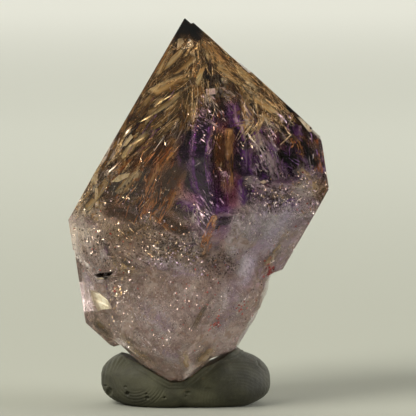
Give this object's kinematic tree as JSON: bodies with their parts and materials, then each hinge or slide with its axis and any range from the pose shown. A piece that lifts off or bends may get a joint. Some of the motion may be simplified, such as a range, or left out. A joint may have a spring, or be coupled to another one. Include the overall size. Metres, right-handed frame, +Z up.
{
  "type": "amethyst scepter crystal",
  "caption": "Amethyst scepter crystal with a smoky pointed head on a short broken stem and a small side crystal, held upright by a pressed oval pad of grey-green mineral tack.",
  "frame": {"origin": "middle of the bounding box on the underside of the tack pad", "axes": "+Z up; -Y is the front, the side that the picture shows; +X is to the right in the picture. The crystal's long axis leans about 9 degrees to the left and 4 degrees back"},
  "size_m": [0.041, 0.0394, 0.0612],
  "materials": {
    "amethyst": "clear to cloudy quartz, smoky brown near the tip and violet in the middle",
    "tack": "matte hand-pressed putty"
  },
  "bodies": {
    "root": {"scepter_crystal": "amethyst", "tack_pad": "tack"}
  },
  "joints": []
}
